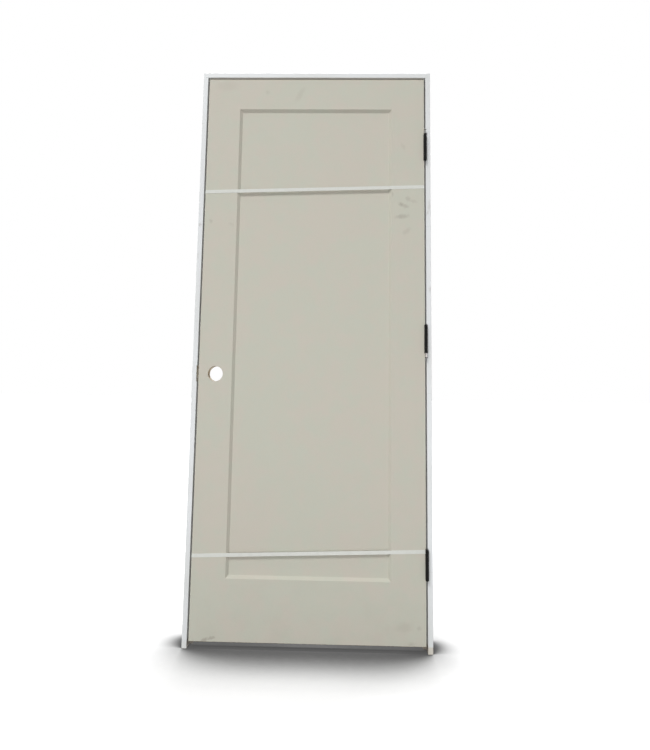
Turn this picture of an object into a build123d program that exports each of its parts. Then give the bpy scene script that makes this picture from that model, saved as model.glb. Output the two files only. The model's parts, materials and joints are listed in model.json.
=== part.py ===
from build123d import *
import math
import os

# A prehung interior door: a moulded one-panel leaf on three butt hinges in a flat jamb set.
# Lengths are in millimetres. X runs along the wall towards the hinge side, Y from the pull side
# to the push side, and Z up. The origin is the centre of the hinge jamb's outer face.

# Leaf
leaf_width = 812.8
leaf_height = 2032.0
leaf_thickness = 35.0
lock_edge_bevel = 3.0  # degrees, so that the back corner of the lock edge clears the strike jamb
skin_thickness = 3.2
core_frame_width = 30.0

# Sunk panel of each skin
stile_width = 119.5
top_rail_width = 118.0
bottom_rail_width = 208.0
panel_depth = 9.5
panel_slope_width = 10.0
panel_lip_radius = 1.6
panel_foot_radius = 2.4

# Lock preparation
lock_height = 914.4  # centre of the bores above the leaf's bottom edge
lock_backset = 60.3
cross_bore_radius = 27.0
latch_bore_radius = 12.7
latch_plate_width = 25.4
latch_plate_height = 57.2
latch_plate_depth = 3.0
latch_plate_corner = 6.4
lock_block_width = 82.0
lock_block_height = 300.0

# Jambs
jamb_thickness = 17.5
jamb_depth = 116.0
jamb_edge_radius = 1.5
head_rabbet_depth = 8.0
side_reveal = 6.0
head_reveal = 8.0
floor_clearance = 24.0

# Strike preparation
strike_plate_height = 57.2
strike_plate_reach = 14.5  # past the centre of the latch hole
strike_plate_depth = 2.4
strike_plate_corner = 6.4
strike_hole_radius = 11.1

# Stops
stop_thickness = 11.0
stop_width = 32.0
stop_edge_radius = 5.0
stop_eased_radius = 1.2
stop_gap = 5.8

# Hinges
hinge_height = 101.6
hinge_plate_thickness = 2.3
hinge_plate_corner = 15.9
hinge_backset = 6.4  # wood left between a plate and the leaf's back face
upper_hinge_drop = 267.0  # centre of the upper hinge below the leaf's top edge
middle_hinge_height = 1048.0  # centres above the leaf's bottom edge
lower_hinge_height = 269.0
knuckle_radius = 5.8
knuckle_count = 5
knuckle_gap = 0.3
tongue_overlap = 4.3  # how far a plate's tongue reaches into its knuckle
tongue_root = 0.8  # how far it reaches into its plate
pin_offset = 10.0  # pin axis in front of the leaf's face
pin_radius = 2.9
pin_clearance = 0.08
pin_end_gap = 2.0  # between the end of a pin that is home and the barrel's far end
pin_head_radius = 4.4
pin_head_height = 3.2
plug_radius = 3.9  # button that closes the barrel's far end
plug_height = 2.6
button_chamfer = 1.0
mortise_clearance = 0.15
countersink_radius = 4.4
countersink_sides = 12  # few, to keep the mesh light
screw_hole_radius = 2.4
screw_pitch = 23.0
outer_screw_depth = 18.5  # screw centres behind the leaf's face
inner_screw_depth = 10.5

# How far each pin has crept out of its barrel, and whether its head is at the upper end
pin_states = {"upper": (15.0, True), "middle": (15.0, False), "lower": (0.0, True)}

# Packing straps
strap_width = 12.7
strap_thickness = 0.7
upper_strap_height = 1602.0  # at the middle of the leaf, above its bottom edge
upper_strap_rise = 24.0  # from the lock edge to the hinge edge
lower_strap_height = 297.0
lower_strap_rise = 29.0

# Planes of the frame, from the outer face of the hinge jamb
frame_front = -jamb_depth / 2
frame_back = jamb_depth / 2
hinge_jamb_face = -jamb_thickness
leaf_hinge_edge = hinge_jamb_face - side_reveal
leaf_lock_edge = leaf_hinge_edge - leaf_width
strike_jamb_face = leaf_lock_edge - side_reveal
frame_lock_side = strike_jamb_face - jamb_thickness
jamb_height = floor_clearance + leaf_height + head_reveal + jamb_thickness
frame_foot = -jamb_height / 2
frame_top = jamb_height / 2
head_jamb_face = frame_top - jamb_thickness

# Planes of the leaf
leaf_front = frame_front
leaf_back = leaf_front + leaf_thickness
leaf_bottom = frame_foot + floor_clearance
leaf_top = leaf_bottom + leaf_height
leaf_mid_depth = (leaf_front + leaf_back) / 2
leaf_mid_width = (leaf_lock_edge + leaf_hinge_edge) / 2
lock_x = leaf_lock_edge + lock_backset
lock_z = leaf_bottom + lock_height

# Planes of the hinges and stops
pin_x = (hinge_jamb_face + leaf_hinge_edge) / 2
pin_y = leaf_front - pin_offset
plate_back = leaf_back - hinge_backset
stop_front = leaf_back + stop_gap
hinge_heights = {
    "upper": leaf_top - upper_hinge_drop,
    "middle": leaf_bottom + middle_hinge_height,
    "lower": leaf_bottom + lower_hinge_height,
}

os.makedirs("parts", exist_ok=True)


def block(x, y, z):
    """Box between two limits on each axis."""
    size = [abs(high - low) for low, high in (x, y, z)]
    centre = [(low + high) / 2 for low, high in (x, y, z)]
    return Pos(*centre) * Box(*size)


def rounded_block(x, y, z, radius, along, towards):
    """Box whose two edges along one axis are rounded, at the far end of another axis."""
    solid = block(x, y, z)
    edges = solid.edges().filter_by(along).group_by(towards)[-1]
    return fillet(edges, radius)


def cylinder_y(x, z, radius, y):
    """Round bar along Y between two limits."""
    return Pos(x, (y[0] + y[1]) / 2, z) * Rot(90, 0, 0) * Cylinder(radius, abs(y[1] - y[0]))


def cylinder_x(y, z, radius, x):
    """Round bar along X between two limits."""
    return Pos((x[0] + x[1]) / 2, y, z) * Rot(0, 90, 0) * Cylinder(radius, abs(x[1] - x[0]))


# Leaf

def leaf_outline():
    """Section of the leaf seen from above, narrower at the back by the lock edge's bevel."""
    bevel = leaf_thickness * math.tan(math.radians(lock_edge_bevel))
    return Polygon(
        (leaf_lock_edge, leaf_front),
        (leaf_hinge_edge, leaf_front),
        (leaf_hinge_edge, leaf_back),
        (leaf_lock_edge + bevel, leaf_back),
        align=None,
    )


def leaf_envelope():
    return extrude(Pos(0, 0, leaf_bottom) * leaf_outline(), leaf_height)


def hinge_mortise(centre_z, edge_x, into):
    """Recess for one hinge plate, open at the front and rounded at the back corners."""
    height = hinge_height / 2 + mortise_clearance
    return rounded_block(
        (edge_x, edge_x + into * hinge_plate_thickness),
        (leaf_front - mortise_clearance, plate_back + mortise_clearance),
        (centre_z - height, centre_z + height),
        hinge_plate_corner + mortise_clearance,
        Axis.X,
        Axis.Y,
    )


def leaf_hinge_mortises():
    return [hinge_mortise(z, leaf_hinge_edge, -1) for z in hinge_heights.values()]


def panel_frustum(depth_from, depth_to, inset_from, inset_to):
    """Body of the sunk panel between two depths, each with its own inset from the panel's outline."""
    sections = []
    for depth, inset in ((depth_from, inset_from), (depth_to, inset_to)):
        low_x = leaf_lock_edge + stile_width + inset
        high_x = leaf_hinge_edge - stile_width - inset
        low_z = leaf_bottom + bottom_rail_width + inset
        high_z = leaf_top - top_rail_width - inset
        centre = ((low_x + high_x) / 2, leaf_front + depth, (low_z + high_z) / 2)
        plane = Plane(origin=centre, x_dir=(1, 0, 0), z_dir=(0, -1, 0))
        sections.append(plane * Rectangle(high_x - low_x, high_z - low_z))
    return loft(sections, ruled=True)


def front_skin():
    """Moulded skin of even thickness that follows the sunk panel."""
    run = panel_slope_width / panel_depth
    wall_shift = skin_thickness * math.hypot(1, run)
    sheet = block(
        (leaf_lock_edge, leaf_hinge_edge),
        (leaf_front, leaf_front + skin_thickness),
        (leaf_bottom, leaf_top),
    )
    pan_depth = panel_depth + skin_thickness
    pan = panel_frustum(0, pan_depth, -wall_shift, run * pan_depth - wall_shift)
    hollow = panel_frustum(0, panel_depth, 0, panel_slope_width)
    skin = sheet + pan - hollow
    lip = skin.edges().filter_by(lambda e: on_depth(e, 0) and inside_leaf(e))
    skin = fillet(lip, panel_lip_radius)
    foot = skin.edges().filter_by(lambda e: on_depth(e, panel_depth))
    skin = fillet(foot, panel_foot_radius)
    return skin


def on_depth(edge, depth):
    """Whether an edge lies in the plane at this depth behind the leaf's face."""
    box = edge.bounding_box()
    return abs(box.min.Y - leaf_front - depth) < 0.01 and abs(box.max.Y - leaf_front - depth) < 0.01


def inside_leaf(edge):
    """Whether an edge belongs to the panel and not to the leaf's rim."""
    centre = edge.center()
    inset_x = min(centre.X - leaf_lock_edge, leaf_hinge_edge - centre.X)
    inset_z = min(centre.Z - leaf_bottom, leaf_top - centre.Z)
    return inset_x > stile_width / 2 and inset_z > top_rail_width / 2


def lock_bores():
    """Cross bore through both faces and latch bore from the lock edge."""
    cross = cylinder_y(lock_x, lock_z, cross_bore_radius, (leaf_front - 1, leaf_back + 1))
    latch = cylinder_x(leaf_mid_depth, lock_z, latch_bore_radius, (leaf_lock_edge - 1, lock_x))
    plate = block(
        (leaf_lock_edge - 1, leaf_lock_edge + latch_plate_depth),
        (leaf_mid_depth - latch_plate_width / 2, leaf_mid_depth + latch_plate_width / 2),
        (lock_z - latch_plate_height / 2, lock_z + latch_plate_height / 2),
    )
    plate = fillet(plate.edges().filter_by(Axis.X), latch_plate_corner)
    return [cross, latch, plate]


def make_leaf():
    envelope = leaf_envelope()
    core_y = (leaf_front + skin_thickness, leaf_back - skin_thickness)
    full_z = (leaf_bottom, leaf_top)
    inner_lock = leaf_lock_edge + core_frame_width
    inner_hinge = leaf_hinge_edge - core_frame_width
    front = front_skin()
    back = mirror(front, about=Plane.XZ.offset(-leaf_mid_depth))
    pieces = {
        "front_skin": front,
        "back_skin": back,
        "hinge_stile": block((inner_hinge, leaf_hinge_edge), core_y, full_z),
        "strike_stile": block((leaf_lock_edge, inner_lock), core_y, full_z),
        "top_rail": block((inner_lock, inner_hinge), core_y, (leaf_top - core_frame_width, leaf_top)),
        "bottom_rail": block(
            (inner_lock, inner_hinge), core_y, (leaf_bottom, leaf_bottom + core_frame_width)
        ),
        "lock_block": block(
            (inner_lock, inner_lock + lock_block_width),
            core_y,
            (lock_z - lock_block_height / 2, lock_z + lock_block_height / 2),
        ),
    }
    cuts = {
        "front_skin": lock_bores() + leaf_hinge_mortises(),
        "back_skin": lock_bores() + leaf_hinge_mortises(),
        "hinge_stile": leaf_hinge_mortises(),
        "strike_stile": lock_bores(),
        "lock_block": lock_bores(),
    }
    for name, tools in cuts.items():
        for tool in tools:
            pieces[name] = pieces[name] - tool
    for name in ("front_skin", "back_skin", "strike_stile"):
        pieces[name] = pieces[name] & envelope
    return pieces


# Straps

def strap(height, rise):
    """Taut band round the leaf, level across the edges and rising towards the hinge edge."""
    inner = leaf_outline()
    outer = offset(inner, strap_thickness)
    reach = strap_width + rise
    z = leaf_bottom + height
    tube = extrude(Pos(0, 0, z - reach) * (outer - inner), 2 * reach)
    tilt = math.degrees(math.atan2(rise, leaf_width))
    slab = Box(2 * leaf_width, 2 * leaf_thickness, strap_width)
    return tube & (Pos(leaf_mid_width, leaf_mid_depth, z) * Rot(0, -tilt, 0) * slab)


# Jambs

def jamb_leg(inner_x, outward):
    """Side jamb board with eased front corners and a rabbet that carries the head jamb."""
    outer_x = inner_x + outward * jamb_thickness
    leg = block((inner_x, outer_x), (frame_front, frame_back), (frame_foot, frame_top))
    corners = leg.edges().filter_by(Axis.Z)
    leg = fillet(corners, jamb_edge_radius)
    rabbet = block(
        (inner_x - outward, inner_x + outward * head_rabbet_depth),
        (frame_front - 1, frame_back + 1),
        (head_jamb_face, frame_top + 1),
    )
    return leg - rabbet


def strike_cuts():
    """Latch hole through the jamb, and the strike plate's mortise that breaks out at the front."""
    hole = cylinder_x(
        leaf_mid_depth, lock_z, strike_hole_radius, (frame_lock_side - 1, strike_jamb_face + 1)
    )
    mortise = rounded_block(
        (strike_jamb_face - strike_plate_depth, strike_jamb_face + 1),
        (frame_front - 1, leaf_mid_depth + strike_plate_reach),
        (lock_z - strike_plate_height / 2, lock_z + strike_plate_height / 2),
        strike_plate_corner,
        Axis.X,
        Axis.Y,
    )
    return hole + mortise


def make_jambs():
    hinge_leg = jamb_leg(hinge_jamb_face, 1)
    for z in hinge_heights.values():
        hinge_leg = hinge_leg - hinge_mortise(z, hinge_jamb_face, 1)
    strike_leg = jamb_leg(strike_jamb_face, -1) - strike_cuts()
    head = block(
        (strike_jamb_face - head_rabbet_depth, hinge_jamb_face + head_rabbet_depth),
        (frame_front, frame_back),
        (head_jamb_face, frame_top),
    )
    head = fillet(head.edges().filter_by(Axis.X), jamb_edge_radius)
    return {"hinge_jamb": hinge_leg, "strike_jamb": strike_leg, "head_jamb": head}


# Stops

def stop_profile():
    """Section of the stop: X is the depth from the leaf's side, Y the height off the jamb."""
    section = Rectangle(stop_width, stop_thickness, align=(Align.MIN, Align.MIN))
    far = section.vertices().group_by(Axis.Y)[-1].sort_by(Axis.X)
    section = fillet(far[-1], stop_edge_radius)
    near = section.vertices().group_by(Axis.X)[0].sort_by(Axis.Y)
    return fillet(near[-1], stop_eased_radius)


def mitre(inner_x, outward):
    """Plane through a top corner of the opening, facing the side stop."""
    return Plane(
        origin=(inner_x, 0, head_jamb_face), x_dir=(0, 1, 0), z_dir=(outward, 0, -1)
    )


def side_stop(inner_x, outward):
    """Stop on a side jamb, mitred at the top."""
    foot = Plane(origin=(inner_x, stop_front, frame_foot), x_dir=(0, 1, 0), z_dir=(0, 0, outward))
    length = outward * (head_jamb_face - frame_foot)
    bar = extrude(foot * stop_profile(), length)
    return split(bar, bisect_by=mitre(inner_x, outward), keep=Keep.TOP)


def head_stop():
    """Stop under the head jamb, mitred at both ends."""
    end = Plane(
        origin=(strike_jamb_face, stop_front, head_jamb_face), x_dir=(0, 1, 0), z_dir=(-1, 0, 0)
    )
    bar = extrude(end * stop_profile(), strike_jamb_face - hinge_jamb_face)
    bar = split(bar, bisect_by=mitre(hinge_jamb_face, 1), keep=Keep.BOTTOM)
    return split(bar, bisect_by=mitre(strike_jamb_face, -1), keep=Keep.BOTTOM)


# Hinges

def knuckle(index, centre_z):
    """One ring of the barrel."""
    pitch = hinge_height / knuckle_count
    z = centre_z - hinge_height / 2 + (index + 0.5) * pitch
    ring = Cylinder(knuckle_radius, pitch - knuckle_gap)
    return Pos(pin_x, pin_y, z) * ring


def tongue(index, centre_z, x):
    """Strip that joins a plate to one of its knuckles."""
    pitch = hinge_height / knuckle_count
    low = centre_z - hinge_height / 2 + index * pitch + knuckle_gap / 2
    start = pin_y + knuckle_radius - tongue_overlap
    return block(x, (start, leaf_front + tongue_root), (low, low + pitch - knuckle_gap))


def button(radius, height):
    """Round head with a chamfered rim, standing up from the XY plane."""
    solid = Cylinder(radius, height, align=(Align.CENTER, Align.CENTER, Align.MIN))
    return chamfer(solid.edges().group_by(Axis.Z)[-1], button_chamfer)


def turned(solid, centre_z, head_up):
    """Moves a solid drawn about the hinge's centre to its pin axis, upside down if need be."""
    turn = 0 if head_up else 180
    return Pos(pin_x, pin_y, centre_z) * Rot(turn, 0, 0) * solid


def screw_places(centre_z):
    """Centres of the four screws: the two inner ones stand nearer the pin."""
    for row in (-1.5, -0.5, 0.5, 1.5):
        depth = outer_screw_depth if abs(row) > 1 else inner_screw_depth
        yield leaf_front + depth, centre_z + row * screw_pitch


def countersink(y, z, face_x, back_x):
    """Screw hole through a plate, with walls drafted from its rim."""
    depth = abs(back_x - face_x)
    rim_plane = Plane(origin=(face_x, y, z), x_dir=(0, 1, 0), z_dir=(back_x - face_x, 0, 0))
    rim = RegularPolygon(countersink_radius, countersink_sides, major_radius=False)
    prism = extrude(rim_plane * rim, depth)
    ends = prism.faces().filter_by(Axis.X)
    walls = [face for face in prism.faces() if face not in ends]
    taper = math.degrees(math.atan2(countersink_radius - screw_hole_radius, depth))
    return draft(walls, rim_plane, taper)


def hinge_leaf(centre_z, edge_x, into, indices):
    """Plate with rounded corners, countersunk screw holes and its share of the knuckles."""
    x = (edge_x, edge_x + into * hinge_plate_thickness)
    half = hinge_height / 2 - knuckle_gap / 2
    plate = rounded_block(
        x,
        (leaf_front, plate_back),
        (centre_z - half, centre_z + half),
        hinge_plate_corner,
        Axis.X,
        Axis.Y,
    )
    for index in indices:
        plate = plate + tongue(index, centre_z, x) + knuckle(index, centre_z)
    bore = Cylinder(pin_radius + pin_clearance, 2 * hinge_height)
    plate = plate - Pos(pin_x, pin_y, centre_z) * bore
    for y, z in screw_places(centre_z):
        plate = plate - countersink(y, z, *x)
    return plate


def plug(centre_z, head_up):
    """Button on the last knuckle, at the far end from the pin's head."""
    solid = Pos(0, 0, hinge_height / 2 - knuckle_gap / 2) * button(plug_radius, plug_height)
    return turned(solid, centre_z, not head_up)


def hinge_pin(centre_z, lift, head_up):
    """Loose pin with a round head, standing out of its barrel by its lift."""
    seat = hinge_height / 2 + lift
    length = hinge_height - pin_end_gap
    shank = Cylinder(pin_radius, length, align=(Align.CENTER, Align.CENTER, Align.MAX))
    solid = Pos(0, 0, seat) * (shank + button(pin_head_radius, pin_head_height))
    return turned(solid, centre_z, head_up)


def make_hinges():
    pieces = {}
    jamb_share = range(0, knuckle_count, 2)
    door_share = range(1, knuckle_count, 2)
    for name, z in hinge_heights.items():
        lift, head_up = pin_states[name]
        jamb_leaf = hinge_leaf(z, hinge_jamb_face, 1, jamb_share) + plug(z, head_up)
        pieces[name + "_hinge_jamb_leaf"] = jamb_leaf
        pieces[name + "_hinge_door_leaf"] = hinge_leaf(z, leaf_hinge_edge, -1, door_share)
        pieces[name + "_hinge_pin"] = hinge_pin(z, lift, head_up)
    return pieces


nodes = {}
nodes.update(make_jambs())
nodes["hinge_side_stop"] = side_stop(hinge_jamb_face, 1)
nodes["strike_side_stop"] = side_stop(strike_jamb_face, -1)
nodes["head_stop"] = head_stop()
nodes.update(make_leaf())
nodes.update(make_hinges())
nodes["upper_strap"] = strap(upper_strap_height, upper_strap_rise)
nodes["lower_strap"] = strap(lower_strap_height, lower_strap_rise)

for node, shape in nodes.items():
    export_step(shape, "parts/" + node + ".step")
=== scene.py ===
import bmesh
import bpy
import json
import math
from mathutils import Matrix, Vector


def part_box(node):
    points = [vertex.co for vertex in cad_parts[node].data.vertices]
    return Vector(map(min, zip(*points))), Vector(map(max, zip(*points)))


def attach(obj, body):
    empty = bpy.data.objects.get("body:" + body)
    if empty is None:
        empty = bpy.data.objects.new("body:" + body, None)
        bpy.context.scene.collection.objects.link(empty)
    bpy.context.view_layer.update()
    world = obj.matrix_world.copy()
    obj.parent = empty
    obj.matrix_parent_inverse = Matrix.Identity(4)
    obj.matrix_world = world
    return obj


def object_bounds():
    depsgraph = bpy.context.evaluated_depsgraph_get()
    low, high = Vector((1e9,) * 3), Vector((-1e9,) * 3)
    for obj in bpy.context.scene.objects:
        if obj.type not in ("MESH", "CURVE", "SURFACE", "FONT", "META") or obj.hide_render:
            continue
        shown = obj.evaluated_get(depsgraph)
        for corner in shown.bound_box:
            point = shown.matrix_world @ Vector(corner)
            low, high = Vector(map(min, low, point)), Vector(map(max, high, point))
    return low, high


# Looks of a prehung interior door that is still in its packing straps. Lengths are in metres.

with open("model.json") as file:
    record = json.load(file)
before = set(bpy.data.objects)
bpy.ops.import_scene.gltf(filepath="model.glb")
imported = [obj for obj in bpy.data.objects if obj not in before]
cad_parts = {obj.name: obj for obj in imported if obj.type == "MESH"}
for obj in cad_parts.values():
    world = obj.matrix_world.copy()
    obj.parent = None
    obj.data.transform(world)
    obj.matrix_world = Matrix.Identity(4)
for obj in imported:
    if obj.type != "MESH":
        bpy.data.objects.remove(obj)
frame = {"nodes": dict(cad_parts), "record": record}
cad_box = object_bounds()

# Camera, in the frame of the part: its place, its turn in degrees, and its lens
CAMERA_PLACE = (-0.3279, -2.231, -0.157)
CAMERA_YAW, CAMERA_PITCH, CAMERA_ROLL = -1.4745, -6.6547, 0.8333
FOCAL_LENGTH = 29.0  # mm on the long side's SENSOR_WIDTH
SENSOR_WIDTH = 36.0
PICTURE_HEIGHT = 750
AXIS_ABOVE_CENTRE = 55  # pixels, where the optical axis meets the picture

# Colours, linear
PRIMER = (0.535, 0.520, 0.440)
PRIMER_WARM = (0.545, 0.508, 0.442)
PRIMER_COOL = (0.515, 0.520, 0.444)
SCUFF = (0.36, 0.33, 0.28)
WHITE = (0.735, 0.755, 0.765)
WHITE_DULL = (0.64, 0.65, 0.63)
GRIME = (0.30, 0.27, 0.23)
PINE_LIGHT = (0.66, 0.60, 0.48)
PINE_DARK = (0.50, 0.42, 0.30)
HARDBOARD = (0.21, 0.135, 0.075)
INNER_FOOT_BROWN = (0.18, 0.145, 0.105)
BLACK = (0.006, 0.006, 0.006)
STEEL = (0.42, 0.39, 0.38)
STEEL_STREAK = (0.30, 0.27, 0.25)
STEEL_DULL = (0.22, 0.22, 0.21)
RUBBED_BLACK = (0.05, 0.045, 0.04)
DUST_ON_BLACK = (0.10, 0.095, 0.085)
STRAP = (0.64, 0.65, 0.61)
STRAP_DULL = (0.58, 0.59, 0.55)
# Painted highlight on the raised lines of the strap's pattern
STRAP_PAINTED_HIGHLIGHT = (0.73, 0.74, 0.71)
FLOOR_PALE = (0.50, 0.50, 0.50)
FLOOR_DULL = (0.47, 0.47, 0.47)
FLOOR_BOUNCE = (0.26, 0.26, 0.26)  # what other surfaces see of the floor

# Scuffs and smudges on the leaf's front plane. Each has the x and z of its centre, its half length
# and half width, its tilt in degrees and its strength.
LEAF_MARKS = [
    (-0.0830, 0.5510, 0.012, 0.0090, -30, 0.55),
    (-0.0640, 0.5430, 0.016, 0.0070, -20, 0.40),
    (-0.1090, 0.5310, 0.012, 0.0080, -30, 1.00),
    (-0.0940, 0.5240, 0.014, 0.0080, -14, 0.75),
    (-0.1060, 0.4840, 0.028, 0.0090, 6, 0.80),
    (-0.0880, 0.4290, 0.020, 0.0100, 38, 0.40),
    (-0.1410, 0.5689, 0.011, 0.0050, -81, 0.50),
    (-0.1010, 0.7537, 0.014, 0.0065, -63, 0.30),
    (-0.8142, 0.4620, 0.009, 0.0060, -56, 0.55),
    (-0.7363, 0.4505, 0.011, 0.0060, -30, 0.30),
    (-0.7830, -1.0120, 0.018, 0.0065, 20, 1.00),
    (-0.7591, -1.0052, 0.018, 0.0055, 14, 0.95),
    (-0.0974, -0.9561, 0.030, 0.0180, 5, 0.35),
    (-0.0484, -0.9583, 0.010, 0.0080, 9, 0.50),
    (-0.0751, -1.0095, 0.014, 0.0070, 6, 0.50),
    (-0.4900, 0.9570, 0.036, 0.0120, 60, 0.32),
    (-0.6130, 0.9650, 0.010, 0.0080, 0, 0.32),
    (-0.7680, 0.9900, 0.045, 0.0220, 0, 0.22),
]
# The same on the jambs' front edges
JAMB_MARKS = [
    (-0.0060, 0.5250, 0.022, 0.0060, 90, 0.35),
    (-0.0100, 0.5000, 0.010, 0.0040, 70, 0.40),
    (-0.0050, 0.2100, 0.012, 0.0050, 90, 0.40),
    (-0.8530, 0.4467, 0.008, 0.0050, 90, 0.60),
    (-0.8560, 0.3300, 0.015, 0.0040, 90, 0.25),
]
MARK_DEPTH = 0.006  # a mark reaches about this far behind the front plane
MARK_RAGGED = 0.016  # and its outline wanders by about a quarter of this

# Finger joints of the upright boards: along Z, across the board, and the width of the glue line
JOINT_SPACING = 0.61
FINGER_PITCH = 0.0062
FINGER_LENGTH = 0.012
JOINT_LINE = 0.0006

CUT_NEAR, CUT_FAR = 0.0002, 0.0006  # depths over which the colour of a sawn end gives way

# Feet of the boards: heights over which bare wood, and the dark brown low on the inner faces, end
FOOT_BARE = (0.020, 0.026)
INNER_BROWN_HEIGHTS = (0.018, 0.034)

PIN_ENDS = 0.4690  # share of a pin's length, from its middle, where its black ends start
UPPER_PIN = (0.4, 0.6)  # heights between which the lower pins' bright finish turns dull

# Lock bore through the leaf
BORE = Vector((-0.776, -0.0405, -0.10235))
BORE_RADIUS = 0.027

# Hinge screws: depths are behind the leaf's face, and the pitch is along the hinge
OUTER_SCREW_DEPTH = 0.0185
INNER_SCREW_DEPTH = 0.0105
SCREW_PITCH = 0.023
HEAD_RADIUS = 0.0042
HEAD_SINK = 0.00015
HEAD_ROUNDING = 0.0002
SHANK_RADIUS = 0.0024
CONE_DEPTH = 0.0021
CROSS_REACH = 0.0021
CROSS_HALF_WIDTH = 0.0005
CROSS_DEPTH = 0.0014
HEAD_RINGS, HEAD_SIDES = 14, 48

# Floor: its colour and glow carry painted shade, darkened by an ambient occlusion node near what stands
# on it, besides the lamps' own shadows. How far this painted shade reaches, and the open share of the sky
# at which it is full and ends. Past GLOW_START the floor brightens, and past GLOW_END it is white.
SHADE_REACH = 0.36
SHADE_FULL = 0.55
SHADE_NONE = 0.98
SHADE_DARKEST = 0.12
SHADE_SAMPLES = 32
FLOOR_GLOW = 0.54
GLOW_START, GLOW_END = 0.5, 1.6
FLOOR_HALF_SIZE = 60.0

WORLD_LEVEL = 0.28
DOOR_MIDDLE = (-0.43, -0.058, 0.0)
BEHIND_DOOR = (-0.43, 1.3, -1.0)

# Lamps: place, what it shines at, size of the square, and power in watts
LAMPS = {
    "key": ((-4.9, -10.0, 12.0), DOOR_MIDDLE, 4.2, 1540.0),
    "fill": ((-0.43, -4.2, -0.5), DOOR_MIDDLE, 1.2, 58.0),
    "top": ((-0.43, 1.3, 5.5), BEHIND_DOOR, 1.6, 280.0),
    "back": ((5.5, 8.0, 3.0), DOOR_MIDDLE, 4.0, 520.0),
    "lock_side": ((-9.0, 1.5, 3.0), DOOR_MIDDLE, 4.0, 200.0),
}

leaf_low, leaf_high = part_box("front_skin")
leaf_middle = (leaf_low + leaf_high) / 2
leaf_half_width = (leaf_high.x - leaf_low.x) / 2
leaf_half_height = (leaf_high.z - leaf_low.z) / 2
hinge_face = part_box("hinge_jamb")[0].x
strike_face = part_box("strike_jamb")[1].x
doorway_middle = (strike_face + hinge_face) / 2
doorway_half_width = (hinge_face - strike_face) / 2
foot_z = cad_box[0].z
front_y = leaf_low.y


# Node helpers

class Graph:
    """A material's node tree, with short calls for what the materials here share."""

    def __init__(self, name):
        self.material = bpy.data.materials.new(name)
        self.material.use_nodes = True
        self.tree = self.material.node_tree
        self.tree.nodes.clear()
        place = self.add("ShaderNodeTexCoord")
        self.place = place.outputs["Object"]
        self.share = place.outputs["Generated"]

    def add(self, kind, inputs=None, **settings):
        node = self.tree.nodes.new(kind)
        for name, value in settings.items():
            setattr(node, name, value)
        for name, value in (inputs or {}).items():
            self.feed(node.inputs[name], value)
        return node

    def feed(self, socket, value):
        if isinstance(value, bpy.types.NodeSocket):
            self.tree.links.new(value, socket)
        elif socket.type == "RGBA" and len(value) == 3:
            socket.default_value = (*value, 1.0)
        else:
            socket.default_value = value

    def calc(self, operation, a, b=0.0):
        node = self.add("ShaderNodeMath", {0: a, 1: b}, operation=operation)
        return node.outputs[0]

    def vector(self, operation, a, b):
        return self.add("ShaderNodeVectorMath", {0: a, 1: b}, operation=operation).outputs[0]

    def length(self, a):
        return self.add("ShaderNodeVectorMath", {0: a}, operation="LENGTH").outputs["Value"]

    def noise(self, scale, detail=3.0, roughness=0.5, stretch=(1, 1, 1), at=None):
        """Noise with scale features a metre; stretch multiplies it along each axis."""
        moved = self.add("ShaderNodeMapping", {"Vector": at or self.place, "Scale": stretch})
        values = {"Vector": moved.outputs[0], "Scale": scale, "Detail": detail, "Roughness": roughness}
        return self.add("ShaderNodeTexNoise", values).outputs["Fac"]

    def ramp(self, value, low, high, to_low=0.0, to_high=1.0):
        values = {"Value": value, "From Min": low, "From Max": high, "To Min": to_low, "To Max": to_high}
        node = self.add("ShaderNodeMapRange", values, interpolation_type="SMOOTHSTEP")
        return node.outputs["Result"]

    def mix(self, factor, a, b):
        node = self.add("ShaderNodeMix", data_type="RGBA")
        self.feed(node.inputs["Factor"], factor)
        self.feed(node.inputs["A"], (*a, 1.0) if isinstance(a, tuple) else a)
        self.feed(node.inputs["B"], (*b, 1.0) if isinstance(b, tuple) else b)
        return node.outputs["Result"]

    def axis(self, name, vector=None):
        node = self.add("ShaderNodeSeparateXYZ", {0: vector or self.place})
        return node.outputs[name]

    def bump(self, height, distance, strength=1.0, normal=None):
        values = {"Height": height, "Distance": distance, "Strength": strength}
        if normal is not None:
            values["Normal"] = normal
        return self.add("ShaderNodeBump", values).outputs["Normal"]

    def between(self, value, low, high, soft):
        """1 where value lies between two limits, with soft edges."""
        rise = self.ramp(value, low - soft, low + soft)
        fall = self.ramp(value, high - soft, high + soft, 1.0, 0.0)
        return self.calc("MULTIPLY", rise, fall)

    def marks(self, marks):
        """Strength of the rubbed and soiled marks that are placed one by one on the front plane."""
        grain = self.ramp(self.noise(900, 4, 0.7), 0.35, 0.65, 0.35, 1.0)
        ragged = self.add("ShaderNodeTexNoise", {"Vector": self.place, "Scale": 110.0, "Detail": 3.0})
        shift = self.vector("SUBTRACT", ragged.outputs["Color"], (0.5, 0.5, 0.5))
        shift = self.vector("MULTIPLY", shift, (MARK_RAGGED, 0.0, MARK_RAGGED))
        place = self.vector("ADD", self.place, shift)
        total = None
        for x, z, half_length, half_width, tilt, strength in marks:
            spot = self.add("ShaderNodeMapping", {"Vector": place}, vector_type="TEXTURE")
            spot.inputs["Location"].default_value = (x, front_y, z)
            spot.inputs["Rotation"].default_value = (0, math.radians(-tilt), 0)
            spot.inputs["Scale"].default_value = (half_length, MARK_DEPTH, half_width)
            far = self.length(spot.outputs[0])
            mask = self.ramp(far, 0.25, 1.35, strength, 0.0)
            total = mask if total is None else self.calc("MAXIMUM", total, mask)
        return self.calc("MULTIPLY", total, grain)

    def finish(self, **inputs):
        """Ends the tree in a Principled shader with these inputs, whose names have _ for a space."""
        shader = self.add("ShaderNodeBsdfPrincipled", {k.replace("_", " "): v for k, v in inputs.items()})
        out = self.add("ShaderNodeOutputMaterial")
        self.tree.links.new(shader.outputs[0], out.inputs[0])
        return self.material


# Materials

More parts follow.
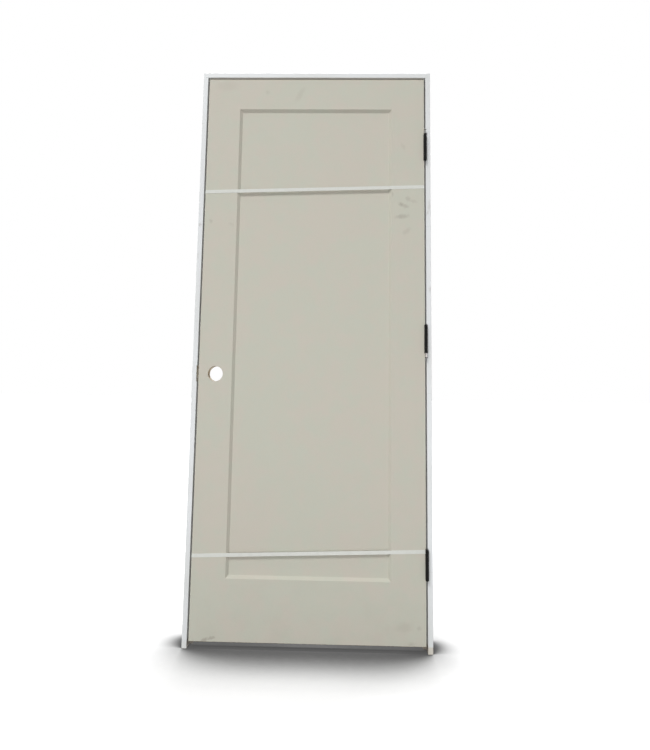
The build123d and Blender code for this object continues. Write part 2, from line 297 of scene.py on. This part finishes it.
def pine(g):
    """Colour and height of bare softwood, with its grain along Z."""
    rings = g.noise(60, 4, 0.6, (1, 1, 0.05))
    fibre = g.noise(700, 3, 0.6, (1, 1, 0.03))
    block = g.noise(1.0, 0, 0.5, (0.01, 0.01, 3.0))
    tone = g.calc("ADD", g.calc("MULTIPLY", rings, 0.75), g.calc("MULTIPLY", block, 0.25))
    colour = g.mix(g.ramp(tone, 0.38, 0.62), PINE_LIGHT, PINE_DARK)
    colour = g.mix(g.ramp(fibre, 0.5, 0.8, 0.0, 0.35), colour, PINE_DARK)
    return colour, g.calc("ADD", rings, fibre)


def skin_material():
    """Greige primer on moulded hardboard, raw and brown where it is cut."""
    g = Graph("skin_primer")
    wide = g.noise(2.6, 2, 0.5)
    near = g.noise(38, 3, 0.6)
    fine = g.noise(420, 2, 0.5)
    mottle = g.noise(15, 3, 0.6)
    tone = g.calc("ADD", g.calc("MULTIPLY", wide, 0.4), g.calc("MULTIPLY", mottle, 0.6))
    colour = g.mix(g.ramp(tone, 0.40, 0.60), PRIMER_COOL, PRIMER_WARM)
    colour = g.mix(g.ramp(near, 0.3, 0.7, 0.0, 0.5), colour, PRIMER)
    colour = g.mix(g.ramp(fine, 0.55, 0.75, 0.0, 0.10), colour, SCUFF)
    low = g.ramp(g.axis("Z"), leaf_low.z, leaf_low.z + 0.35, 0.08, 0.0)
    dust = g.calc("MULTIPLY", low, g.ramp(g.noise(14, 4, 0.7), 0.4, 0.7))
    colour = g.mix(dust, colour, SCUFF)
    colour = g.mix(g.marks(LEAF_MARKS), colour, SCUFF)

    to_bore = g.add("ShaderNodeMapping", {"Vector": g.place, "Scale": (1, 0, 1)})
    to_bore.inputs["Location"].default_value = (-BORE.x, 0, -BORE.z)
    radius = g.length(to_bore.outputs[0])
    in_bore = g.ramp(radius, BORE_RADIUS + 0.0001, BORE_RADIUS + 0.0006, 1.0, 0.0)
    ends = g.calc("ABSOLUTE", g.calc("SUBTRACT", g.axis("Z"), leaf_middle.z))
    at_end = g.ramp(ends, leaf_half_height - CUT_FAR, leaf_half_height - CUT_NEAR)
    raw = g.calc("MAXIMUM", in_bore, at_end)
    board = g.mix(g.ramp(g.noise(800, 4, 0.7), 0.3, 0.7), HARDBOARD, PINE_DARK)
    colour = g.mix(raw, colour, board)

    peel = g.noise(520, 2, 0.6)
    speck = g.noise(1800, 2, 0.5)
    normal = g.bump(g.calc("ADD", peel, g.calc("MULTIPLY", speck, 0.5)), 0.00012, 0.5)
    normal = g.bump(g.noise(9, 2, 0.5), 0.0012, 0.25, normal)
    roughness = g.ramp(near, 0.3, 0.7, 0.62, 0.70)
    return g.finish(Base_Color=colour, Roughness=roughness, Specular_IOR_Level=0.35, Normal=normal)


def finger_joints(g, shift):
    """1 on the zigzag lines where an upright board's blocks are glued end to end."""
    turns = g.calc("ADD", g.calc("MULTIPLY", g.axis("Z"), 1 / JOINT_SPACING), shift)
    along = g.calc("SUBTRACT", g.calc("FRACT", turns), 0.5)
    finger = g.calc("PINGPONG", g.axis("Y"), FINGER_PITCH / 2)
    finger = g.calc("MULTIPLY", finger, FINGER_LENGTH * 2 / FINGER_PITCH)
    off = g.calc("ABSOLUTE", g.calc("SUBTRACT", g.calc("MULTIPLY", along, JOINT_SPACING), finger))
    return g.ramp(off, JOINT_LINE * 0.4, JOINT_LINE, 1.0, 0.0)


def board_material(name, smooth):
    """Cool white primer on a board, bare at the foot and dark brown low on its inner faces. A board that
    isn't smooth is bare in its mortises and bores too."""
    g = Graph(name)
    wide = g.noise(3.5, 3, 0.5)
    grain = g.noise(170, 3, 0.6, (1, 1, 0.04))
    colour = g.mix(g.ramp(wide, 0.35, 0.7, 0.0, 0.5), WHITE, WHITE_DULL)
    colour = g.mix(g.ramp(grain, 0.55, 0.8, 0.0, 0.18), colour, WHITE_DULL)
    middle = DOOR_MIDDLE[0]
    shift = 0.12 if smooth else g.ramp(g.axis("X"), middle, middle + 0.01, 0.37, 0.78)
    joints = finger_joints(g, shift)
    colour = g.mix(g.calc("MULTIPLY", joints, 0.30), colour, GRIME)
    colour = g.mix(g.marks(JAMB_MARKS), colour, GRIME)
    spots = g.ramp(g.noise(26, 4, 0.75), 0.66, 0.76, 0.0, 0.35)
    colour = g.mix(spots, colour, GRIME)

    wood, wood_height = pine(g)
    inside = None
    for axis, margin in (("X", 0.04), ("Y", 0.007), ("Z", 0.0005)):
        share = g.axis(axis, g.share)
        depth = g.between(share, margin, 1 - margin, margin / 4)
        inside = depth if inside is None else g.calc("MULTIPLY", inside, depth)
    foot = g.ramp(g.axis("Z"), foot_z + FOOT_BARE[0], foot_z + FOOT_BARE[1], 0.55, 0.0)
    foot = g.calc("MULTIPLY", foot, g.ramp(g.noise(120, 3, 0.6), 0.2, 0.5, 0.6, 1.0))
    hinge_side = g.ramp(g.axis("X"), DOOR_MIDDLE[0], DOOR_MIDDLE[0] + 0.01)
    foot = g.calc("MULTIPLY", foot, g.ramp(hinge_side, 0.0, 1.0, 0.25, 1.0))
    sawn = g.ramp(g.axis("Z"), foot_z + CUT_NEAR, foot_z + CUT_FAR, 1.0, 0.0)
    cover = g.calc("MAXIMUM", foot, sawn)
    if not smooth:
        cover = g.calc("MAXIMUM", cover, g.calc("MULTIPLY", inside, 0.75))
    colour = g.mix(cover, colour, wood)
    from_middle = g.calc("ABSOLUTE", g.calc("SUBTRACT", g.axis("X"), doorway_middle))
    inner = g.ramp(from_middle, doorway_half_width + 0.0003, doorway_half_width + 0.0008, 0.85, 0.0)
    # The inner faces, towards the doorway, turn dark brown near the foot.
    brown_foot = g.ramp(g.axis("Z"), foot_z + INNER_BROWN_HEIGHTS[0], foot_z + INNER_BROWN_HEIGHTS[1], 1.0, 0.0)
    brown_foot = g.calc("MULTIPLY", brown_foot, g.ramp(g.noise(90, 4, 0.7), 0.3, 0.6, 0.6, 1.0))
    colour = g.mix(g.calc("MULTIPLY", inner, brown_foot), colour, INNER_FOOT_BROWN)

    relief = g.calc("ADD", grain, g.calc("MULTIPLY", wood_height, 0.5))
    relief = g.calc("SUBTRACT", relief, joints)
    normal = g.bump(relief, 0.00015, 0.25 if smooth else 0.45)
    roughness = g.ramp(wide, 0.3, 0.7, 0.36, 0.46)
    return g.finish(Base_Color=colour, Roughness=roughness, Normal=normal)


def core_material():
    """Bare softwood of the leaf's frame, primed with the skins on the leaf's two long edges."""
    g = Graph("core_softwood")
    wood, height = pine(g)
    side = g.calc("ABSOLUTE", g.calc("SUBTRACT", g.axis("X"), leaf_middle.x))
    edge = g.ramp(side, leaf_half_width - 0.0024, leaf_half_width - 0.0020)
    ends = g.calc("ABSOLUTE", g.calc("SUBTRACT", g.axis("Z"), leaf_middle.z))
    short = g.ramp(ends, leaf_half_height - CUT_FAR, leaf_half_height - CUT_NEAR, 1.0, 0.0)
    edge = g.calc("MULTIPLY", edge, short)
    primer = g.mix(g.ramp(g.noise(30, 3, 0.6), 0.3, 0.7), PRIMER, PRIMER_WARM)
    colour = g.mix(edge, wood, primer)
    normal = g.bump(height, 0.0002, 0.6)
    roughness = g.ramp(edge, 0.0, 1.0, 0.75, 0.52)
    return g.finish(Base_Color=colour, Roughness=roughness, Normal=normal)


def black_metal(name, smoothest, roughest, shine):
    """Black finish, rubbed a little on its high places."""
    g = Graph(name)
    wear = g.ramp(g.noise(240, 5, 0.75), 0.62, 0.76, 0.0, 0.40)
    dust = g.ramp(g.noise(35, 3, 0.6), 0.45, 0.75, 0.0, 0.06)
    colour = g.mix(wear, BLACK, RUBBED_BLACK)
    colour = g.mix(dust, colour, DUST_ON_BLACK)
    normal = g.bump(g.noise(1500, 2, 0.6), 0.00006, 0.5)
    roughness = g.ramp(g.noise(300, 3, 0.6), 0.3, 0.7, smoothest, roughest)
    return g.finish(Base_Color=colour, Roughness=roughness, Specular_IOR_Level=shine, Normal=normal)


def pin_material():
    """Steel shank: bright with black ends on the lower two pins, and dull all over on the upper one."""
    g = Graph("hinge_pin_steel")
    from_middle = g.calc("ABSOLUTE", g.calc("SUBTRACT", g.axis("Z", g.share), 0.5))
    dull = g.ramp(g.axis("Z"), *UPPER_PIN)
    ends = g.ramp(from_middle, PIN_ENDS - 0.0005, PIN_ENDS)
    head = g.calc("MULTIPLY", ends, g.calc("SUBTRACT", 1.0, dull))
    streak = g.noise(500, 3, 0.6, (1, 1, 0.1))
    shank = g.mix(g.ramp(streak, 0.45, 0.7, 0.0, 0.5), STEEL, STEEL_STREAK)
    shank = g.mix(dull, shank, STEEL_DULL)
    colour = g.mix(head, shank, BLACK)
    metal = g.calc("SUBTRACT", 1.0, head)
    roughness = g.calc("ADD", g.ramp(streak, 0.3, 0.7, 0.28, 0.45), g.calc("MULTIPLY", dull, 0.25))
    normal = g.bump(streak, 0.00003, 0.5)
    return g.finish(Base_Color=colour, Metallic=metal, Roughness=roughness, Normal=normal)


def strap_material():
    """White plastic strapping, pressed with a fine diamond pattern whose raised lines get a painted
    highlight.
    """
    g = Graph("packing_strap")
    height = None
    for tilt in (35, -35):
        turned = g.add("ShaderNodeMapping", {"Vector": g.place})
        turned.inputs["Rotation"].default_value = (0, math.radians(tilt), 0)
        values = {"Vector": turned.outputs[0], "Scale": 190.0, "Distortion": 0.3}
        wave = g.add("ShaderNodeTexWave", values, bands_direction="X").outputs["Fac"]
        height = wave if height is None else g.calc("MULTIPLY", height, wave)
    cloud = g.noise(60, 3, 0.6)
    colour = g.mix(g.ramp(cloud, 0.35, 0.7, 0.0, 0.5), STRAP, STRAP_DULL)
    # Painted highlight: the raised lines of the pattern are coloured lighter.
    colour = g.mix(g.ramp(height, 0.2, 0.8, 0.0, 0.2), colour, STRAP_PAINTED_HIGHLIGHT)
    normal = g.bump(height, 0.00015, 0.5)
    roughness = g.ramp(cloud, 0.3, 0.7, 0.32, 0.45)
    return g.finish(Base_Color=colour, Roughness=roughness, Normal=normal)


materials = {
    "skin": skin_material(),
    "core_wood": core_material(),
    "jamb": board_material("jamb_primer", smooth=False),
    "stop": board_material("stop_primer", smooth=True),
    "hinge": black_metal("hinge_black", 0.55, 0.68, 0.10),
    "hinge_pin": pin_material(),
    "strap": strap_material(),
}
screw_black = black_metal("screw_black", 0.30, 0.42, 0.45)
for part in frame["record"]["subparts"]:
    obj = frame["nodes"][part["node"]]
    obj.data.materials.clear()
    obj.data.materials.append(materials[part["material_slot"]])


# Hinge screws

def screw_places(centre_z):
    """Centres of a plate's four screws: the two inner ones stand nearer the pin."""
    for row in (-1.5, -0.5, 0.5, 1.5):
        depth = OUTER_SCREW_DEPTH if abs(row) > 1 else INNER_SCREW_DEPTH
        yield front_y + depth, centre_z + row * SCREW_PITCH


def cross_depth(u, v):
    """Depth of the driver's cross at a place on the head, deepest at the centre."""
    arm = max(abs(u), abs(v))
    side = min(abs(u), abs(v))
    if arm > CROSS_REACH or side > CROSS_HALF_WIDTH:
        return 0.0
    return CROSS_DEPTH * (1 - 0.55 * arm / CROSS_REACH) * (1 - 0.3 * side / CROSS_HALF_WIDTH)


def add_screw(mesh, place, outward, turn):
    """Flat countersunk head: rings of a dished disc with a cross sunk in it, and the cone below."""
    grid = []
    for ring in range(HEAD_RINGS + 1):
        radius = HEAD_RADIUS * ring / HEAD_RINGS
        row = []
        for side in range(HEAD_SIDES):
            angle = 2 * math.pi * side / HEAD_SIDES
            u, v = radius * math.cos(angle), radius * math.sin(angle)
            rim = HEAD_SINK + (HEAD_ROUNDING if ring == HEAD_RINGS else 0.0)
            depth = rim + cross_depth(u, v)
            across = u * math.cos(turn) - v * math.sin(turn)
            along = u * math.sin(turn) + v * math.cos(turn)
            row.append(mesh.verts.new(place + Vector((-outward * depth, across, along))))
        grid.append(row)
    cone = []
    for side in range(HEAD_SIDES):
        angle = 2 * math.pi * side / HEAD_SIDES + turn
        across, along = SHANK_RADIUS * math.cos(angle), SHANK_RADIUS * math.sin(angle)
        cone.append(mesh.verts.new(place + Vector((-outward * CONE_DEPTH, across, along))))
    grid.append(cone)
    for inner, outer in zip(grid, grid[1:]):
        for side in range(HEAD_SIDES):
            after = (side + 1) % HEAD_SIDES
            face = (inner[side], inner[after], outer[after], outer[side])
            mesh.faces.new(face if outward < 0 else face[::-1])
    bmesh.ops.remove_doubles(mesh, verts=grid[0], dist=1e-6)


def make_screws(hinge, plate, body, outward, seed):
    """The four screws of one hinge plate as one piece."""
    low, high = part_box(f"{hinge}_hinge_door_leaf")
    face_x = hinge_face if plate == "jamb" else leaf_high.x
    mesh = bmesh.new()
    for number, (y, z) in enumerate(screw_places((low.z + high.z) / 2)):
        turn = math.radians((37 * number + 61 * seed) % 90)
        add_screw(mesh, Vector((face_x, y, z)), outward, turn)
    bmesh.ops.recalc_face_normals(mesh, faces=mesh.faces)
    data = bpy.data.meshes.new(f"{hinge}_{plate}_screws")
    mesh.to_mesh(data)
    mesh.free()
    data.materials.append(screw_black)
    screws = bpy.data.objects.new(f"{hinge}_{plate}_screws", data)
    bpy.context.scene.collection.objects.link(screws)
    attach(screws, body)


for seed, hinge in enumerate(("upper", "middle", "lower")):
    make_screws(hinge, "jamb", "frame", -1, 2 * seed)
    make_screws(hinge, "door", "leaf", 1, 2 * seed + 1)


# Stage

def make_camera():
    """Camera whose axis meets the picture above its centre."""
    yaw, pitch, roll = (math.radians(a) for a in (CAMERA_YAW, CAMERA_PITCH, CAMERA_ROLL))
    turn = Matrix.Rotation(roll, 3, "Y") @ Matrix.Rotation(pitch, 3, "X") @ Matrix.Rotation(yaw, 3, "Z")
    right, forward, up = turn
    axes = Matrix((right, up, -forward)).transposed()
    data = bpy.data.cameras.new("camera")
    data.lens = FOCAL_LENGTH
    data.sensor_width = SENSOR_WIDTH
    data.shift_y = -AXIS_ABOVE_CENTRE / PICTURE_HEIGHT
    camera = bpy.data.objects.new("camera", data)
    camera.matrix_world = Matrix.Translation(CAMERA_PLACE) @ axes.to_4x4()
    bpy.context.scene.collection.objects.link(camera)
    bpy.context.scene.camera = camera


def area_light(name, place, target, size, power):
    """Square lamp that shines from one place at another."""
    data = bpy.data.lights.new(name, "AREA")
    data.energy = power
    data.size = size
    light = bpy.data.objects.new(name, data)
    light.location = place
    light.rotation_euler = (Vector(target) - Vector(place)).to_track_quat("-Z", "Y").to_euler()
    bpy.context.scene.collection.objects.link(light)


def seen_directly(tree):
    """1 for rays from the camera, off gloss or through glass."""
    path = tree.nodes.new("ShaderNodeLightPath")
    total = path.outputs["Is Camera Ray"]
    for name in ("Is Glossy Ray", "Is Transmission Ray"):
        both = tree.nodes.new("ShaderNodeMath")
        both.operation = "MAXIMUM"
        tree.links.new(total, both.inputs[0])
        tree.links.new(path.outputs[name], both.inputs[1])
        total = both.outputs[0]
    return total


def make_world(strength):
    """White surroundings that light the part less than they show."""
    world = bpy.data.worlds.new("studio")
    world.use_nodes = True
    tree = world.node_tree
    background = tree.nodes["Background"]
    background.inputs["Color"].default_value = (1, 1, 1, 1)
    level = tree.nodes.new("ShaderNodeMapRange")
    level.inputs["To Min"].default_value = strength
    level.inputs["To Max"].default_value = 1.0
    tree.links.new(seen_directly(tree), level.inputs["Value"])
    tree.links.new(level.outputs["Result"], background.inputs["Strength"])
    bpy.context.scene.world = world


def make_floor():
    """Pale floor with painted shade near the door besides the lamps' shadows, white away from it."""
    size = FLOOR_HALF_SIZE
    mesh = bpy.data.meshes.new("floor")
    corners = [(-size, -size, 0), (size, -size, 0), (size, size, 0), (-size, size, 0)]
    mesh.from_pydata(corners, [], [(0, 1, 2, 3)])
    floor = bpy.data.objects.new("floor", mesh)
    middle = (cad_box[0] + cad_box[1]) / 2
    floor.location = (middle.x, middle.y, cad_box[0].z)
    bpy.context.scene.collection.objects.link(floor)
    g = Graph("floor_pale")
    direct = seen_directly(g.tree)
    # Painted shade: an ambient occlusion node darkens the floor's colour and glow near what stands on it.
    nearby = g.add("ShaderNodeAmbientOcclusion", {"Distance": SHADE_REACH})
    nearby.samples = SHADE_SAMPLES
    shade = g.ramp(nearby.outputs["AO"], SHADE_FULL, SHADE_NONE, SHADE_DARKEST, 1.0)
    colour = g.mix(g.noise(30, 3, 0.6), FLOOR_PALE, FLOOR_DULL)
    colour = g.mix(shade, (0, 0, 0), colour)
    colour = g.mix(direct, FLOOR_BOUNCE, colour)
    matt = g.add("ShaderNodeBsdfDiffuse", {"Color": colour})
    far = g.length(g.place)
    glow = g.calc("MULTIPLY", g.ramp(far, GLOW_START, GLOW_END, FLOOR_GLOW, 1.0), shade)
    glow = g.calc("MULTIPLY", glow, direct)
    light = g.add("ShaderNodeEmission", {"Color": (1, 1, 1), "Strength": glow})
    both = g.add("ShaderNodeAddShader")
    g.tree.links.new(matt.outputs[0], both.inputs[0])
    g.tree.links.new(light.outputs[0], both.inputs[1])
    out = g.add("ShaderNodeOutputMaterial")
    g.tree.links.new(both.outputs[0], out.inputs[0])
    mesh.materials.append(g.material)


make_camera()
make_world(WORLD_LEVEL)
make_floor()
for name, (place, target, size, power) in LAMPS.items():
    area_light(name, place, target, size, power)

bpy.context.scene.view_settings.view_transform = "Standard"
